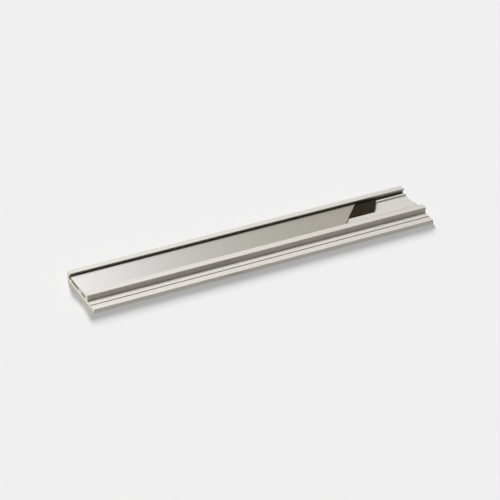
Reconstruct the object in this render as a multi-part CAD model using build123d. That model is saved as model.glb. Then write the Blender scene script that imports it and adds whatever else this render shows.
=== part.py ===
from build123d import *
from math import radians, tan
import os

# Extruded aluminium profile with a cover strip and a thin backing strip in its channel.
# X runs along the length, the flange's edge is at -Y, and the underside lies on Z = 0.
# All sizes are in millimetres and all angles in degrees.

# Base profile, across its section from the front edge to the back
length = 200.0
width = 34.4
flange_width = 8.2           # from the front edge to the front wall
front_wall = 2.8
front_lip = 1.15             # reach of the lip past the front wall, over the channel
front_slot = 4.85            # between the front wall and the front rib
front_rib = 3.9              # width of the front rib
back_rib = 1.25              # width of the back rib
back_slot = 2.0              # between the back rib and the back wall
back_wall = 2.5
back_lip = 1.1               # reach of the lip past the back wall, over the channel

# Base profile, upwards
flange_thickness = 2.0
floor_thickness = 1.9        # under the channel
rib_height = 1.1             # of both ribs, above the channel's floor
lip_thickness = 1.15

# Guide groove in the flange
groove_inset = 4.2           # from the front edge to the groove's middle
groove_width = 0.7
groove_depth = 0.6

# Roundings of the extruded section
edge_radius = 0.15           # outer corners
root_radius = 0.2            # inner corners
rib_root_radius = 0.75       # the soft corner behind the front rib
shortest_flat = 0.05         # flat kept between two roundings

# Cover strip, which is hooked under the front lip and lies on the backing strip
cover_thickness = 0.95
cover_setback = 40.85        # from the base's right end, along the strip's middle
cover_cut = 43.3             # slant of its right end, from square
cover_front_clearance = 0.3  # to the front wall
cover_top_clearance = 0.05   # to the front lip
cover_rib_overlap = 0.9      # reaches this far over the back rib

# Backing strip, which lies on both ribs
backing_thickness = 0.35
backing_setback = 22.0       # from the base's right end, along the strip's middle
backing_cut = 35.0           # slant of its right end, from square
backing_front_overlap = 0.4  # rests on this much of the front rib
backing_back_reach = 1.45    # from the back rib's front to the strip's back edge
backing_corner_radius = 0.8  # its front corner at the right end

# Places across the section
front = -width / 2
back = width / 2
front_wall_outside = front + flange_width
front_wall_inside = front_wall_outside + front_wall
front_lip_edge = front_wall_inside + front_lip
front_rib_front = front_wall_inside + front_slot
front_rib_back = front_rib_front + front_rib
back_wall_inside = back - back_wall
back_lip_edge = back_wall_inside - back_lip
back_rib_back = back_wall_inside - back_slot
back_rib_front = back_rib_back - back_rib
groove_front = front + groove_inset - groove_width / 2
groove_back = groove_front + groove_width

# Heights of the section
flange_top = flange_thickness
groove_floor = flange_top - groove_depth
floor = floor_thickness
seat = floor + rib_height
backing_top = seat + backing_thickness
cover_top = backing_top + cover_thickness
lip_underside = cover_top + cover_top_clearance
height = lip_underside + lip_thickness

# Ends
left_end = -length / 2
right_end = length / 2


def rounded(section, places, radius):
    """Round the section's corners that lie at the given places."""
    corners = [section.vertices().sort_by_distance(Vector(*place))[0] for place in places]
    return fillet(corners, radius)


def profile_section():
    """Section of the base, drawn with Y to the right and Z up, counter-clockwise."""
    outline = Polyline(
        (front, 0),
        (back, 0),
        (back, height),
        (back_lip_edge, height),
        (back_lip_edge, lip_underside),
        (back_wall_inside, lip_underside),
        (back_wall_inside, floor),
        (back_rib_back, floor),
        (back_rib_back, seat),
        (back_rib_front, seat),
        (back_rib_front, floor),
        (front_rib_back, floor),
        (front_rib_back, seat),
        (front_rib_front, seat),
        (front_rib_front, floor),
        (front_wall_inside, floor),
        (front_wall_inside, lip_underside),
        (front_lip_edge, lip_underside),
        (front_lip_edge, height),
        (front_wall_outside, height),
        (front_wall_outside, flange_top),
        (groove_back, flange_top),
        (groove_back, groove_floor),
        (groove_front, groove_floor),
        (groove_front, flange_top),
        (front, flange_top),
        close=True,
    )
    section = make_face(outline)
    outer_corners = [
        (back, height),
        (back_lip_edge, height),
        (back_lip_edge, lip_underside),
        (back_rib_back, seat),
        (back_rib_front, seat),
        (front_rib_back, seat),
        (front_rib_front, seat),
        (front_lip_edge, lip_underside),
        (front_lip_edge, height),
        (front_wall_outside, height),
        (front, flange_top),
    ]
    inner_corners = [
        (back_wall_inside, floor),
        (back_rib_back, floor),
        (back_rib_front, floor),
        (front_rib_front, floor),
        (front_wall_inside, floor),
        (front_wall_outside, flange_top),
    ]
    section = rounded(section, outer_corners, edge_radius)
    section = rounded(section, inner_corners, root_radius)
    rib_root = min(rib_root_radius, rib_height - edge_radius - shortest_flat)
    return rounded(section, [(front_rib_back, floor)], rib_root)


def base_profile():
    """The extruded base, in one length."""
    return extrude(Plane.YZ * profile_section(), amount=length / 2, both=True)


def strip_plan(front_edge, back_edge, setback, cut):
    """Plan of a strip that is flush at the left end and cut on a slant at the right end."""
    middle_end = right_end - setback
    slant = tan(radians(cut)) * (back_edge - front_edge) / 2
    outline = Polyline(
        (left_end, front_edge),
        (middle_end - slant, front_edge),
        (middle_end + slant, back_edge),
        (left_end, back_edge),
        close=True,
    )
    return make_face(outline)


def cover_strip():
    """The flat strip that is hooked under the front lip and reaches to the back rib."""
    front_edge = front_wall_inside + cover_front_clearance
    back_edge = back_rib_front + cover_rib_overlap
    plan = strip_plan(front_edge, back_edge, cover_setback, cover_cut)
    return extrude(Pos(0, 0, backing_top) * plan, amount=cover_thickness, dir=(0, 0, 1))


def backing_strip():
    """The thin strip that bridges the two ribs, with one rounded corner."""
    front_edge = front_rib_back - backing_front_overlap
    back_edge = back_rib_front + backing_back_reach
    plan = strip_plan(front_edge, back_edge, backing_setback, backing_cut)
    cut_front_corner = plan.vertices().sort_by(Axis.Y)[:2].sort_by(Axis.X)[-1]
    plan = fillet(cut_front_corner, backing_corner_radius)
    return extrude(Pos(0, 0, seat) * plan, amount=backing_thickness, dir=(0, 0, 1))


os.makedirs("parts", exist_ok=True)
export_step(base_profile(), "parts/base_profile.step")
export_step(cover_strip(), "parts/cover_strip.step")
export_step(backing_strip(), "parts/backing_strip.step")
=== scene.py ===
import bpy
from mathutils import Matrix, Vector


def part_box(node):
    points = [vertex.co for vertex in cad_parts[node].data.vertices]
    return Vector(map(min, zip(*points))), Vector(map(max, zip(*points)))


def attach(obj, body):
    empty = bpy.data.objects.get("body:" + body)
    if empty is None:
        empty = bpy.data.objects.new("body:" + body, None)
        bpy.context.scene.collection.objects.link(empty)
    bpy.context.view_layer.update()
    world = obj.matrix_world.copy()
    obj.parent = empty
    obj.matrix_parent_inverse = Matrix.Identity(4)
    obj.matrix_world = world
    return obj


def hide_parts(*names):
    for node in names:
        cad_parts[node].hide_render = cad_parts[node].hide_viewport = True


bl_info = {
    "name": "Aluminium profile with cover strip",
    "version": (1, 0, 0),
    "blender": (4, 5, 0),
    "location": "View3D > Sidebar > Profile",
    "description": "Dresses the profile, its cover strip and its magnet foil, and sets the stage",
    "category": "Object",
}

import math

import bmesh
import bpy
from bpy.props import FloatProperty, FloatVectorProperty, IntProperty, PointerProperty
from bpy.types import Operator, Panel, PropertyGroup
from mathutils import Matrix, Quaternion, Vector

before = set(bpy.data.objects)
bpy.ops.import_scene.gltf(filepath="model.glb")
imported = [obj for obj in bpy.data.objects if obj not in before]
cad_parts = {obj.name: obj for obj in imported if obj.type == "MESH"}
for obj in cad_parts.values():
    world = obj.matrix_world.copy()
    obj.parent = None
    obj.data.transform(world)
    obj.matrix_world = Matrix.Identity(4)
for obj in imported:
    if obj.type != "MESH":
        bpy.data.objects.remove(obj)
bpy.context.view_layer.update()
MILLIMETRE = 0.001
TOUCHING = 0.001 * MILLIMETRE  # points this close are one point
LENGTHWISE = 0                 # axis along the profile
UPWARDS = 2                    # axis through the thickness of the strips
WHITE = (1.0, 1.0, 1.0)


# Properties that a user may change

class ProfilePieces(PropertyGroup):
    """Sizes of the finish on the three pieces."""

    sawn_edge: FloatProperty(
        name="Sawn edge", description="Edge break round the sawn ends of the base profile",
        default=0.07 * MILLIMETRE, unit="LENGTH", precision=6)
    sheared_edge: FloatProperty(
        name="Sheared edge", description="Rolled edge on the cut ends of the cover strip",
        default=0.10 * MILLIMETRE, unit="LENGTH", precision=6)
    foil_edge: FloatProperty(
        name="Foil edge", description="Soft edge on the cut ends of the magnet foil",
        default=0.05 * MILLIMETRE, unit="LENGTH", precision=6)
    edge_segments: IntProperty(
        name="Edge segments", description="Faces across each broken edge",
        default=2, min=1, max=6)
    smooth_angle: FloatProperty(
        name="Smooth angle", description="Faces that meet at less than this are shaded as one",
        default=math.radians(20), subtype="ANGLE")


class ProfileColours(PropertyGroup):
    """Colours of the finishes and of the floor, in linear light, and the painted shade in the
    base's hollows.
    """

    extrusion: FloatVectorProperty(
        name="Extrusion", description="Matt natural aluminium of the base profile",
        default=(0.80, 0.783, 0.744), subtype="COLOR", size=3, min=0, max=1)
    sawn_end: FloatVectorProperty(
        name="Sawn end", description="Bare metal of the sawn and sheared ends",
        default=(0.88, 0.85, 0.745), subtype="COLOR", size=3, min=0, max=1)
    cover: FloatVectorProperty(
        name="Cover strip", description="Satin aluminium of the cover strip",
        default=(0.79, 0.779, 0.765), subtype="COLOR", size=3, min=0, max=1)
    # Painted shade: darkens the groove and the slot under the back lip, where shade falls.
    hollow_painted_shade: FloatProperty(
        name="Hollow painted shade", description="How much darker the groove and the back slot are",
        default=0.34, min=0, max=1, subtype="FACTOR")
    foil: FloatVectorProperty(
        name="Magnet foil", description="Dark brown-black of the magnet foil",
        default=(0.0225, 0.016, 0.0097), subtype="COLOR", size=3, min=0, max=1)
    floor: FloatVectorProperty(
        name="Floor", description="Pale floor of the stage",
        default=(0.80, 0.80, 0.80), subtype="COLOR", size=3, min=0, max=1)
    floor_in_metal: FloatVectorProperty(
        name="Floor in metal", description="The floor as bare metal shows it",
        default=(0.845, 0.815, 0.757), subtype="COLOR", size=3, min=0, max=1)


class ProfileStage(PropertyGroup):
    """Camera, floor, surroundings and lamps."""

    azimuth: FloatProperty(
        name="Azimuth", description="Turn of the camera round the object, from the front",
        default=math.radians(-27.945), subtype="ANGLE")
    elevation: FloatProperty(
        name="Elevation", description="Height of the camera above the horizon",
        default=math.radians(32.034), subtype="ANGLE")
    roll: FloatProperty(
        name="Roll", description="Turn of the camera about its line of sight",
        default=math.radians(1.098), subtype="ANGLE")
    distance: FloatProperty(
        name="Distance", description="From the camera to the point it aims at",
        default=1.03441, unit="LENGTH")
    aim: FloatVectorProperty(
        name="Aim", description="Point on the floor in the middle of the picture",
        default=(-0.00211, 0.00161, 0.0), subtype="TRANSLATION", size=3)
    lens: FloatProperty(
        name="Lens", description="Focal length in millimetres on a 36 mm sensor",
        default=140.83)
    floor_size: FloatProperty(
        name="Floor size", description="Side of the square floor",
        default=12.0, unit="LENGTH")
    surroundings: FloatProperty(
        name="Surroundings", description="Even light from all round",
        default=0.025, min=0, max=1)
    backdrop: FloatProperty(
        name="Backdrop", description="Level of the backdrop beyond the floor",
        default=0.86, min=0, max=1)
    high_panel: FloatProperty(
        name="High panel", description="Soft panel high above the base, a little behind it",
        default=11.75, min=0, unit="POWER")
    left_panel: FloatProperty(
        name="Left panel", description="Soft panel low on the base's left",
        default=2.65, min=0, unit="POWER")
    strip_sky: FloatProperty(
        name="Strip sky", description="Even sky that the satin strip reflects",
        default=1.295, min=0)
    sky_tint: FloatVectorProperty(
        name="Sky tint", description="Colour of the sky over the strip",
        default=(1.0, 0.96, 0.79), subtype="COLOR", size=3, min=0, max=1)
    strip_panel: FloatProperty(
        name="Strip panel", description="Soft panel behind the strip",
        default=1.464, min=0, unit="POWER")
    panel_tint: FloatVectorProperty(
        name="Panel tint", description="Colour of the panel behind the strip",
        default=(0.87, 0.90, 1.0), subtype="COLOR", size=3, min=0, max=1)
    floor_sun: FloatProperty(
        name="Floor sun", description="Low light behind, which gives the floor its shadow",
        default=5.85, min=0)
    floor_fill: FloatProperty(
        name="Floor fill", description="Wide light down on the floor",
        default=1.49, min=0)


# Shader graph helpers

class Value:
    """A shader socket that takes part in Python expressions."""

    def __init__(self, graph, socket):
        self.graph = graph
        self.socket = socket

    def _math(self, operation, first, second):
        return self.graph.node("ShaderNodeMath", {"operation": operation}, {0: first, 1: second})

    def __add__(self, other):
        return self._math("ADD", self, other)

    def __radd__(self, other):
        return self._math("ADD", other, self)

    def __sub__(self, other):
        return self._math("SUBTRACT", self, other)

    def __rsub__(self, other):
        return self._math("SUBTRACT", other, self)

    def __mul__(self, other):
        return self._math("MULTIPLY", self, other)

    def __rmul__(self, other):
        return self._math("MULTIPLY", other, self)


class Graph:
    """The nodes of one material or world."""

    def __init__(self, owner):
        owner.use_nodes = True
        self.tree = owner.node_tree
        self.tree.nodes.clear()

    def node(self, kind, settings=None, inputs=None, output=0):
        """Add a node: its settings first, then the values or links of its sockets."""
        made = self.tree.nodes.new(kind)
        for name, setting in (settings or {}).items():
            setattr(made, name, setting)
        for key, given in (inputs or {}).items():
            if isinstance(given, Value):
                self.tree.links.new(given.socket, made.inputs[key])
            else:
                made.inputs[key].default_value = given
        return Value(self, made.outputs[output]) if made.outputs else made

    def place(self):
        """Object coordinates of the surface."""
        return self.node("ShaderNodeTexCoord", output="Object")

    def stretched(self, place, scale):
        """Coordinates with a scale of their own along each axis."""
        return self.node("ShaderNodeMapping", {"vector_type": "POINT"}, {
            "Vector": place, "Scale": scale})

    def noise(self, place, scale, detail=2.0, roughness=0.5):
        """Soft noise from 0 to 1."""
        return self.node("ShaderNodeTexNoise", {"noise_dimensions": "3D"}, {
            "Vector": place, "Scale": scale, "Detail": detail, "Roughness": roughness})

    def mask(self, attribute):
        """A number that the mesh carries on its faces."""
        return self.node("ShaderNodeAttribute", {"attribute_name": attribute}, output="Fac")

    def mix(self, factor, first, second):
        """Blend two colours."""
        return self.node("ShaderNodeMix", {"data_type": "RGBA", "clamp_factor": True}, {
            0: factor, 6: first, 7: second}, output=2)

    def blend(self, factor, first, second):
        """Blend two numbers."""
        return self.node("ShaderNodeMix", {"data_type": "FLOAT", "clamp_factor": True}, {
            0: factor, 2: first, 3: second})

    def shade(self, colour, level):
        """Darken or lighten a colour by a number that changes over the surface."""
        tone = self.node("ShaderNodeCombineColor", None, {0: level, 1: level, 2: level})
        return self.node("ShaderNodeMix", {"data_type": "RGBA", "blend_type": "MULTIPLY"}, {
            0: 1.0, 6: colour, 7: tone}, output=2)

    def bump(self, height, distance):
        """Turn a height from 0 to 1 into a normal."""
        return self.node("ShaderNodeBump", None, {
            "Strength": 1.0, "Distance": distance, "Height": height})

    def principled(self, **sockets):
        """A principled shader, with its sockets given by name."""
        named = {key.replace("_", " ").title(): given for key, given in sockets.items()}
        return self.node("ShaderNodeBsdfPrincipled", None, {
            key.replace("Ior", "IOR"): given for key, given in named.items()})

    def surface(self, shader):
        """End the material in a shader."""
        self.node("ShaderNodeOutputMaterial", None, {"Surface": shader})


def opaque(colour):
    """A colour property with full alpha."""
    return (*colour, 1.0)


def grey(level):
    """An even grey with full alpha."""
    return (level, level, level, 1.0)


# Materials

def die_lines(graph, place, width):
    """Fine lines along the length, as an extrusion die or a rolling mill leaves them."""
    along = 6.0  # changes in a metre of length
    across = 1.0 / width
    drawn = graph.stretched(place, (along, across, across))
    return graph.noise(drawn, scale=1.0, detail=3.0, roughness=0.6)


def saw_marks(graph, place, spacing):
    """Shallow arcs of a circular saw on a sawn end."""
    blade_centre = (0.0, -0.020, 0.125)
    in_the_cut = (0, 1, 1)
    waver = 5.0  # how far the arcs stray, in radians of their wave
    from_centre = graph.node("ShaderNodeVectorMath", {"operation": "SUBTRACT"}, {
        0: place, 1: blade_centre})
    flat = graph.node("ShaderNodeVectorMath", {"operation": "MULTIPLY"}, {
        0: from_centre, 1: in_the_cut})
    radius = graph.node("ShaderNodeVectorMath", {"operation": "LENGTH"}, {0: flat}, output="Value")
    uneven = graph.noise(place, scale=900.0)
    wave = graph.node("ShaderNodeMath", {"operation": "SINE"}, {
        0: radius * (2 * math.pi / spacing) + uneven * waver})
    return wave * 0.5 + 0.5


def extruded_aluminium(colours):
    """Matt natural aluminium with die lines and painted shade in its groove and back slot, and
    bare sawn metal on the ends.
    """
    material = bpy.data.materials.new("extruded_aluminium")
    graph = Graph(material)
    place = graph.place()
    sawn = graph.mask("cut")
    fine = die_lines(graph, place, width=0.11 * MILLIMETRE)
    broad = die_lines(graph, place, width=0.9 * MILLIMETRE)
    cloud = graph.noise(place, scale=55.0)
    marks = saw_marks(graph, place, spacing=0.22 * MILLIMETRE)
    # Painted shade: the guide groove and the slot under the back lip are darkened in the colour.
    painted_shade_factor = 1.0 - graph.mask("hollow") * (0.8 + broad * 0.4) * colours.hollow_painted_shade
    level = (0.965 + fine * 0.03 + broad * 0.02 + cloud * 0.02) * painted_shade_factor
    skin = graph.shade(opaque(colours.extrusion), level)
    bare = graph.shade(opaque(colours.sawn_end), 0.90 + marks * 0.10)
    graph.surface(graph.principled(
        base_color=graph.mix(sawn, skin, bare),
        metallic=1.0,
        roughness=graph.blend(sawn, 0.81 + fine * 0.06 + cloud * 0.03, 0.62 + marks * 0.12),
        normal=graph.bump(
            graph.blend(sawn, fine * 0.7 + broad * 0.3, marks), distance=0.004 * MILLIMETRE),
    ))
    return material


def satin_cover(colours):
    """Satin aluminium strip with hairlines along its length and a bright sheared edge."""
    material = bpy.data.materials.new("satin_cover")
    graph = Graph(material)
    place = graph.place()
    sheared = graph.mask("cut")
    hair = die_lines(graph, place, width=0.05 * MILLIMETRE)
    cloud = graph.noise(place, scale=70.0)
    skin = graph.shade(opaque(colours.cover), 0.975 + hair * 0.03 + cloud * 0.015)
    graph.surface(graph.principled(
        base_color=graph.mix(sheared, skin, opaque(colours.sawn_end)),
        metallic=1.0,
        roughness=graph.blend(sheared, 0.34 + hair * 0.05 + cloud * 0.03, 0.45),
        normal=graph.bump(hair, distance=0.0015 * MILLIMETRE),
    ))
    return material


def magnet_foil(colours):
    """Dull brown-black foil with a fine grain and faint lines from its rolling."""
    material = bpy.data.materials.new("magnet_foil")
    graph = Graph(material)
    place = graph.place()
    grain = graph.noise(place, scale=7000.0, detail=4.0, roughness=0.7)
    rolled = die_lines(graph, place, width=0.4 * MILLIMETRE)
    patch = graph.noise(place, scale=160.0)
    level = 0.75 + grain * 0.25 + rolled * 0.12 + patch * 0.15
    graph.surface(graph.principled(
        base_color=graph.shade(opaque(colours.foil), level),
        roughness=0.62 + grain * 0.12 + patch * 0.06,
        specular_ior_level=0.12,
        normal=graph.bump(grain * 0.8 + rolled * 0.2, distance=0.02 * MILLIMETRE),
    ))
    return material


def pale_floor(colours):
    """Plain pale floor with a faint unevenness, which metal shows without the object's shadow."""
    material = bpy.data.materials.new("pale_floor")
    graph = Graph(material)
    cloud = graph.noise(graph.place(), scale=3.0)
    lit = graph.principled(
        base_color=graph.shade(opaque(colours.floor), 0.995 + cloud * 0.01),
        roughness=0.95,
        specular_ior_level=0.0,
    )
    in_metal = graph.node("ShaderNodeLightPath", output="Is Glossy Ray")
    even = graph.node("ShaderNodeEmission", None, {
        "Color": opaque(colours.floor_in_metal), "Strength": 1.0})
    graph.surface(graph.node("ShaderNodeMixShader", None, {0: in_metal, 1: lit, 2: even}))
    return material


# Pieces

def press_tree():
    """Geometry nodes that press a flat outline out to a bar, as a die presses its section."""
    tree = bpy.data.node_groups.new("press_outline", "GeometryNodeTree")
    sockets = tree.interface
    sockets.new_socket("Geometry", in_out="INPUT", socket_type="NodeSocketGeometry")
    sockets.new_socket("Direction", in_out="INPUT", socket_type="NodeSocketVector")
    sockets.new_socket("Length", in_out="INPUT", socket_type="NodeSocketFloat")
    sockets.new_socket("Material", in_out="INPUT", socket_type="NodeSocketMaterial")
    sockets.new_socket("Geometry", in_out="OUTPUT", socket_type="NodeSocketGeometry")
    given = tree.nodes.new("NodeGroupInput")
    extrude = tree.nodes.new("GeometryNodeExtrudeMesh")
    extrude.inputs["Individual"].default_value = False
    turned = tree.nodes.new("GeometryNodeFlipFaces")
    joined = tree.nodes.new("GeometryNodeJoinGeometry")
    merged = tree.nodes.new("GeometryNodeMergeByDistance")
    merged.inputs["Distance"].default_value = TOUCHING
    real = tree.nodes.new("GeometryNodeRealizeInstances")
    painted = tree.nodes.new("GeometryNodeSetMaterial")
    out = tree.nodes.new("NodeGroupOutput")
    for source, target in (
        (given.outputs["Geometry"], extrude.inputs["Mesh"]),
        (given.outputs["Direction"], extrude.inputs["Offset"]),
        (given.outputs["Length"], extrude.inputs["Offset Scale"]),
        (given.outputs["Geometry"], turned.inputs["Mesh"]),
        (extrude.outputs["Mesh"], joined.inputs["Geometry"]),
        (turned.outputs["Mesh"], joined.inputs["Geometry"]),
        (joined.outputs["Geometry"], merged.inputs["Geometry"]),
        (merged.outputs["Geometry"], real.inputs["Geometry"]),
        (real.outputs["Geometry"], painted.inputs["Geometry"]),
        (given.outputs["Material"], painted.inputs["Material"]),
        (painted.outputs["Geometry"], out.inputs["Geometry"]),
    ):
        tree.links.new(source, target)
    return tree


def unit(axis):
    """Unit vector along an axis, which is given by its number."""
    return Vector((axis == 0, axis == 1, axis == 2))


def end_outline(node, axis):
    """The CAD node's flat outline at the low end of an axis, as a mesh of one face."""
    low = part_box(node)[0]
    square = 0.999  # cosine to the axis from which a face counts as square to it
    form = bmesh.new()
    form.from_mesh(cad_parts[node].data)
    bmesh.ops.remove_doubles(form, verts=form.verts, dist=TOUCHING)
    spare = [f for f in form.faces if f.normal.dot(-unit(axis)) < square
             or abs(f.calc_center_median()[axis] - low[axis]) > TOUCHING]
    bmesh.ops.delete(form, geom=spare, context="FACES")
    bmesh.ops.dissolve_faces(form, faces=form.faces)
    bmesh.ops.reverse_faces(form, faces=form.faces)
    mesh = bpy.data.meshes.new(node + "_outline")
    form.to_mesh(mesh)
    form.free()
    return mesh


def pressed_bar(name, node, axis, material):
    """Press the node's outline along an axis to the node's own size, as a plain mesh."""
    low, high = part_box(node)
    draft = bpy.data.objects.new(name + "_draft", end_outline(node, axis))
    bpy.context.scene.collection.objects.link(draft)
    tree = bpy.data.node_groups.get("press_outline") or press_tree()
    press = draft.modifiers.new("Press", "NODES")
    press.node_group = tree
    sizes = {
        "Direction": unit(axis),
        "Length": high[axis] - low[axis],
        "Material": material,
    }
    for item in tree.interface.items_tree:
        if item.in_out == "INPUT" and item.name in sizes:
            press[item.identifier] = sizes[item.name]
    evaluated = draft.evaluated_get(bpy.context.evaluated_depsgraph_get())
    mesh = bpy.data.meshes.new_from_object(evaluated)
    bpy.data.objects.remove(draft)
    mesh.name = name
    return mesh


def is_cut(face):
    """Whether a face lies across the length, as a sawn or sheared end does."""
    most_slanted = 0.6  # the normal of the cover strip's slanted cut has 0.73 along the length
    return abs(face.normal.x) > most_slanted


def finish_edges(mesh, width, segments):
    """Break the edges round the cut ends and mark the cut faces."""
    form = bmesh.new()
    form.from_mesh(mesh)
    cut = form.faces.layers.float.new("cut")
    for face in form.faces:
        face[cut] = float(is_cut(face))
    rim = [e for e in form.edges if len(e.link_faces) == 2
           and sorted(f[cut] for f in e.link_faces) == [0.0, 1.0]]
    bmesh.ops.bevel(form, geom=rim, offset=width, segments=segments, profile=0.5,
                    affect="EDGES", clamp_overlap=True)
    form.to_mesh(mesh)
    form.free()


def mark_hollows(mesh):
    """Mark the faces of the guide groove and of the slot under the back lip, where the base
    material paints shade.
    """
    groove = (-13.4, -12.6)    # reach across the section, in millimetres
    back_slot = (12.65, 14.8)
    bottom = 1.0               # below both floors, and above the underside
    top = 4.4                  # just above the back lip's underside
    # The hollow attribute marks where painted shade goes.
    values = mesh.attributes.new("hollow", "FLOAT", "FACE").data
    for face, value in zip(mesh.polygons, values):
        across, height = (part / MILLIMETRE for part in face.center.yz)
        within = any(front < across < back for front, back in (groove, back_slot))
        value.value = float(within and bottom < height < top)


def add_piece(name, node, mesh, smooth_angle):
    """Show the mesh in place of its CAD node."""
    mesh.shade_smooth()
    mesh.set_sharp_from_angle(angle=smooth_angle)
    piece = bpy.data.objects.new(name, mesh)
    bpy.context.scene.collection.objects.link(piece)
    weighted = piece.modifiers.new("Flat faces stay flat", "WEIGHTED_NORMAL")
    weighted.keep_sharp = True
    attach(piece, "root")
    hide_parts(node)


class PROFILE_OT_base(Operator):
    """Make the extruded base profile with its sawn ends"""

    bl_idname = "profile.base"
    bl_label = "Base profile"

    def execute(self, context):
        sizes = context.scene.profile_pieces
        material = extruded_aluminium(context.scene.profile_colours)
        mesh = pressed_bar("extruded_base", "base_profile", LENGTHWISE, material)
        finish_edges(mesh, sizes.sawn_edge, sizes.edge_segments)
        mark_hollows(mesh)
        add_piece("extruded_base", "base_profile", mesh, sizes.smooth_angle)
        return {"FINISHED"}


class PROFILE_OT_cover(Operator):
    """Make the cover strip with its slanted cut"""

    bl_idname = "profile.cover"
    bl_label = "Cover strip"

    def execute(self, context):
        sizes = context.scene.profile_pieces
        material = satin_cover(context.scene.profile_colours)
        mesh = pressed_bar("satin_strip", "cover_strip", UPWARDS, material)
        finish_edges(mesh, sizes.sheared_edge, sizes.edge_segments)
        add_piece("satin_strip", "cover_strip", mesh, sizes.smooth_angle)
        return {"FINISHED"}


class PROFILE_OT_backing(Operator):
    """Make the thin magnet foil under the cover strip"""

    bl_idname = "profile.backing"
    bl_label = "Magnet foil"

    def execute(self, context):
        sizes = context.scene.profile_pieces
        material = magnet_foil(context.scene.profile_colours)
        mesh = pressed_bar("dark_foil", "backing_strip", UPWARDS, material)
        finish_edges(mesh, sizes.foil_edge, sizes.edge_segments)
        add_piece("dark_foil", "backing_strip", mesh, sizes.smooth_angle)
        return {"FINISHED"}


# Stage

PANEL_SIZE = 0.6      # across, in metres
PANEL_DISTANCE = 1.0  # from the object, in metres
SUN_DISTANCE = 3.0    # where the lamp is drawn: its light is parallel
SENSOR_WIDTH = 36.0   # of the camera, in millimetres


def add_floor(settings, colours):
    """A large pale floor under the object."""
    half = settings.floor_size / 2
    mesh = bpy.data.meshes.new("floor")
    corners = [(-half, -half, 0), (half, -half, 0), (half, half, 0), (-half, half, 0)]
    mesh.from_pydata(corners, [], [(0, 1, 2, 3)])
    mesh.materials.append(pale_floor(colours))
    floor = bpy.data.objects.new("floor", mesh)
    bpy.context.scene.collection.objects.link(floor)
    return floor


def direction(azimuth, elevation):
    """Unit vector towards a place round the object: azimuth 0 is in front, at -Y."""
    level = math.cos(elevation)
    return Vector((math.sin(azimuth) * level, -math.cos(azimuth) * level, math.sin(elevation)))


def add_lamp(name, kind, towards, distance, energy):
    """A lamp that stands in a direction from the object and shines at it."""
    light = bpy.data.lights.new(name, kind)
    light.energy = energy
    lamp = bpy.data.objects.new(name, light)
    bpy.context.scene.collection.objects.link(lamp)
    lamp.location = towards * distance
    lamp.rotation_mode = "QUATERNION"
    lamp.rotation_quaternion = (-towards).to_track_quat("-Z", "Y")
    lamp.visible_camera = False
    return lamp


def add_panel(name, azimuth, elevation, power, receivers, tint=WHITE):
    """A round soft panel that lights the receivers alone. Its angles are in degrees."""
    towards = direction(math.radians(azimuth), math.radians(elevation))
    lamp = add_lamp(name, "AREA", towards, PANEL_DISTANCE, power)
    lamp.data.shape = "DISK"
    lamp.data.size = PANEL_SIZE
    lamp.data.color = tint
    light_only(lamp, receivers)


def add_sun(name, azimuth, elevation, spread, strength, receivers, tint=WHITE):
    """Far light that lights the receivers alone. Its angles and its soft spread are in degrees."""
    towards = direction(math.radians(azimuth), math.radians(elevation))
    lamp = add_lamp(name, "SUN", towards, SUN_DISTANCE, strength)
    lamp.data.angle = math.radians(spread)
    lamp.data.color = tint
    light_only(lamp, receivers)


def light_only(lamp, receivers):
    """Let a lamp shine on some objects alone. All others still throw their shadow."""
    group = bpy.data.collections.new(lamp.name + "_receivers")
    for thing in receivers:
        group.objects.link(thing)
    lamp.light_linking.receiver_collection = group


def add_camera(settings):
    """Camera at the photograph's viewing angle."""
    back = direction(settings.azimuth, settings.elevation)
    data = bpy.data.cameras.new("camera")
    data.lens = settings.lens
    data.sensor_width = SENSOR_WIDTH
    camera = bpy.data.objects.new("camera", data)
    bpy.context.scene.collection.objects.link(camera)
    turn = (-back).to_track_quat("-Z", "Y") @ Quaternion((0, 0, 1), settings.roll)
    place = Vector(settings.aim) + back * settings.distance
    camera.matrix_world = Matrix.Translation(place) @ turn.to_matrix().to_4x4()
    bpy.context.scene.camera = camera


def add_world(dim, backdrop):
    """Dim even surroundings, which the camera sees as a pale backdrop."""
    world = bpy.data.worlds.new("surroundings")
    bpy.context.scene.world = world
    graph = Graph(world)
    seen = graph.node("ShaderNodeLightPath", output="Is Camera Ray")
    around = graph.node("ShaderNodeBackground", None, {"Color": grey(dim), "Strength": 1.0})
    pale = graph.node("ShaderNodeBackground", None, {"Color": grey(backdrop), "Strength": 1.0})
    sky = graph.node("ShaderNodeMixShader", None, {0: seen, 1: around, 2: pale})
    graph.node("ShaderNodeOutputWorld", None, {"Surface": sky})


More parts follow.
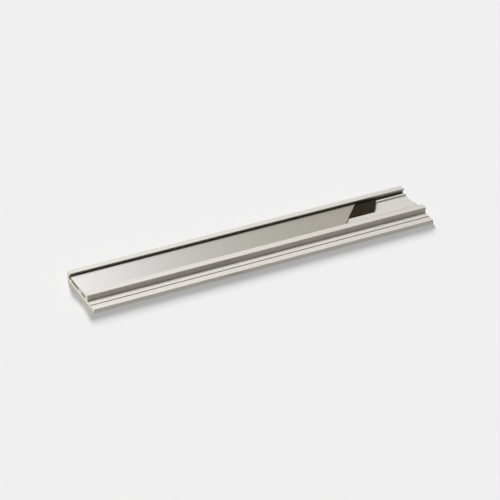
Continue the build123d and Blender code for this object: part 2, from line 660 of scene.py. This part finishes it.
class PROFILE_OT_stage(Operator):
    """Make the floor, the lamps and the camera"""

    bl_idname = "profile.stage"
    bl_label = "Stage"

    def execute(self, context):
        settings = context.scene.profile_stage
        context.scene.view_settings.view_transform = "Standard"
        floor = [add_floor(settings, context.scene.profile_colours)]
        matt = [context.scene.objects[name] for name in ("extruded_base", "dark_foil")]
        satin = [context.scene.objects["satin_strip"]]
        add_world(settings.surroundings, settings.backdrop)
        add_panel("high_panel", azimuth=217, elevation=75,
                  power=settings.high_panel, receivers=matt)
        add_panel("left_panel", azimuth=250, elevation=15,
                  power=settings.left_panel, receivers=matt)
        add_panel("strip_panel", azimuth=180, elevation=35,
                  power=settings.strip_panel, receivers=satin, tint=settings.panel_tint)
        add_sun("strip_sky", azimuth=0, elevation=90, spread=170,
                strength=settings.strip_sky, receivers=satin, tint=settings.sky_tint)
        add_sun("floor_sun", azimuth=165, elevation=18.3, spread=10,
                strength=settings.floor_sun, receivers=floor)
        add_sun("floor_fill", azimuth=0, elevation=90, spread=80,
                strength=settings.floor_fill, receivers=floor)
        add_camera(settings)
        return {"FINISHED"}


class PROFILE_PT_panel(Panel):
    """Sizes, colours, stage and operators of the profile"""

    bl_idname = "PROFILE_PT_panel"
    bl_label = "Aluminium profile"
    bl_space_type = "VIEW_3D"
    bl_region_type = "UI"
    bl_category = "Profile"

    def draw(self, context):
        layout = self.layout
        for group_name in GROUPS:
            group = getattr(context.scene, group_name)
            column = layout.column(align=True)
            for name in group.bl_rna.properties.keys():
                if name not in {"rna_type", "name"}:
                    column.prop(group, name)
        for operator in OPERATORS:
            layout.operator(operator.bl_idname)


GROUPS = {
    "profile_pieces": ProfilePieces,
    "profile_colours": ProfileColours,
    "profile_stage": ProfileStage,
}
OPERATORS = (PROFILE_OT_base, PROFILE_OT_cover, PROFILE_OT_backing, PROFILE_OT_stage)


def register():
    for made in (*GROUPS.values(), *OPERATORS, PROFILE_PT_panel):
        bpy.utils.register_class(made)
    for name, group in GROUPS.items():
        setattr(bpy.types.Scene, name, PointerProperty(type=group))


def unregister():
    for name in GROUPS:
        delattr(bpy.types.Scene, name)
    for made in (PROFILE_PT_panel, *reversed(OPERATORS), *reversed(GROUPS.values())):
        bpy.utils.unregister_class(made)


def main():
    register()
    bpy.ops.profile.base()
    bpy.ops.profile.cover()
    bpy.ops.profile.backing()
    bpy.ops.profile.stage()


if __name__ == "__main__":
    main()
